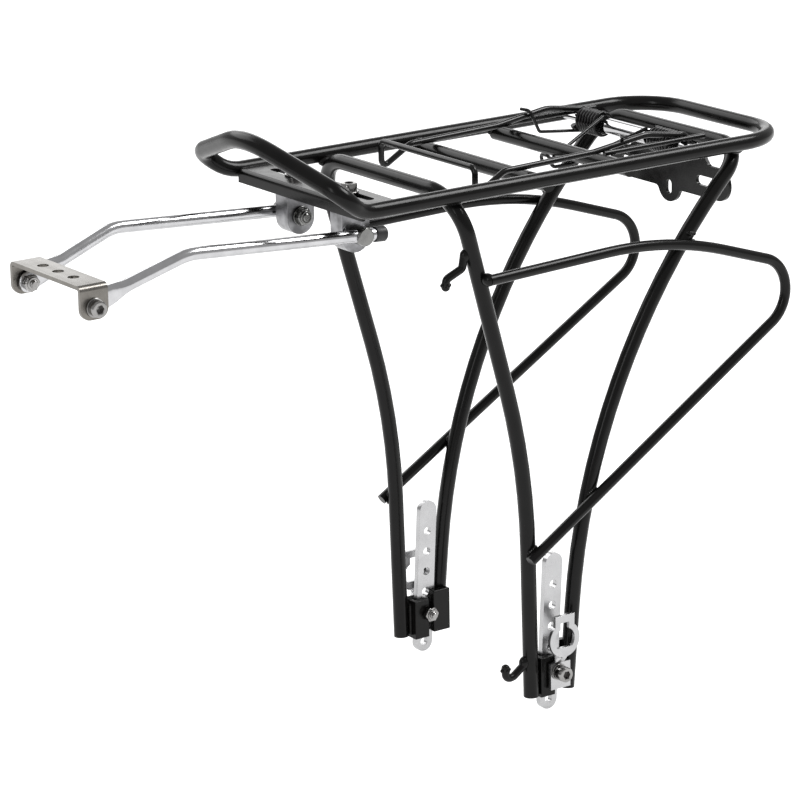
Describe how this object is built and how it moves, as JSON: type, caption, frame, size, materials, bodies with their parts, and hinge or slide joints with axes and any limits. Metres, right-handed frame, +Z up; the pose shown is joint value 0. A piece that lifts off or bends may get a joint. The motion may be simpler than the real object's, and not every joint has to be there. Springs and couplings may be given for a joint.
{
  "type": "bicycle rear luggage rack",
  "caption": "Black tubular steel rack that stands over a bicycle's rear wheel, with side hoops for panniers, a sprung clip on top, adjustable feet and adjustable front stays.",
  "frame": {"origin": "centre of the bounding box in plan, level with the lowest point of the two dropout strips", "axes": "+X to the bicycle's rear, +Y to its right, +Z up"},
  "size_m": [0.52, 0.177, 0.3912],
  "materials": {
    "black_paint": "satin black powder coat",
    "black_wire": "satin black",
    "plated_steel": "zinc plated",
    "stay_steel": "satin",
    "bridge_steel": "satin stainless",
    "fastener_steel": "bright",
    "bright_steel": "bright",
    "black_cap": "matte"
  },
  "bodies": {
    "frame": {"platform_loop": "black_paint", "front_leg_tube": "black_paint", "rear_leg_tube": "black_paint", "rung_middle": "black_paint", "rung_rear": "black_paint", "pannier_hoop_left": "black_paint", "pannier_hoop_right": "black_paint", "pump_peg_upper": "black_paint", "pump_peg_lower": "black_paint", "stay_mount_plate": "black_paint", "light_bracket": "black_paint", "foot_channel_left": "black_paint", "foot_channel_right": "black_paint", "foot_plate_left": "black_paint", "foot_plate_right": "black_paint", "clamp_plate_left": "plated_steel", "clamp_plate_right": "plated_steel", "clamp_bolt_left": "fastener_steel", "clamp_bolt_right": "fastener_steel", "clamp_washer_left": "fastener_steel", "clamp_washer_right": "fastener_steel", "clamp_nut_left": "fastener_steel", "clamp_nut_right": "fastener_steel", "dropout_strip_left": "plated_steel", "dropout_strip_right": "plated_steel", "stay_bracket_left": "plated_steel", "stay_bracket_right": "plated_steel", "bracket_screw_left": "fastener_steel", "bracket_screw_right": "fastener_steel", "bracket_washer_left": "fastener_steel", "bracket_washer_right": "fastener_steel", "clip_axle": "bright_steel", "axle_sleeve": "bright_steel", "spring_loop": "black_wire"},
    "clip": {"clip_wire": "black_wire", "clip_strut_left": "black_wire", "clip_strut_right": "black_wire", "spring_left": "black_wire", "spring_right": "black_wire"},
    "eye_bolts": {"eye_bolt_left": "fastener_steel", "eye_bolt_right": "fastener_steel", "eye_washer_left": "fastener_steel", "eye_washer_right": "fastener_steel", "eye_nut_left": "fastener_steel", "eye_nut_right": "fastener_steel"},
    "stays": {"stay_left": "stay_steel", "stay_right": "stay_steel", "stay_cap_left": "black_cap", "stay_cap_right": "black_cap"},
    "bridge": {"bridge_plate": "bridge_steel", "bridge_bolt_left": "fastener_steel", "bridge_bolt_right": "fastener_steel", "bridge_washer_left": "fastener_steel", "bridge_washer_right": "fastener_steel", "bridge_nut_left": "fastener_steel", "bridge_nut_right": "fastener_steel"}
  },
  "joints": [
    {"name": "clip_hinge", "type": "hinge", "parent": "frame", "child": "clip", "pos_m": [0.18, 0, 0.3495], "axis": [0, 1, 0], "range_deg": [0, 85], "stiffness_Nm_per_rad": 0.8, "springref_deg": -51.57},
    {"name": "stay_swing", "type": "hinge", "parent": "frame", "child": "eye_bolts", "pos_m": [-0.062, 0, 0.3265], "axis": [0, 1, 0], "range_deg": [-17, 25]},
    {"name": "stay_slide", "type": "slide", "parent": "eye_bolts", "child": "stays", "axis": [0.9977, 0, -0.0677], "range_m": [-0.0025, 0.085]},
    {"name": "bridge_tilt", "type": "hinge", "parent": "stays", "child": "bridge", "pos_m": [-0.2505, 0, 0.313], "axis": [0, 1, 0], "range_deg": [-75, 3]}
  ]
}
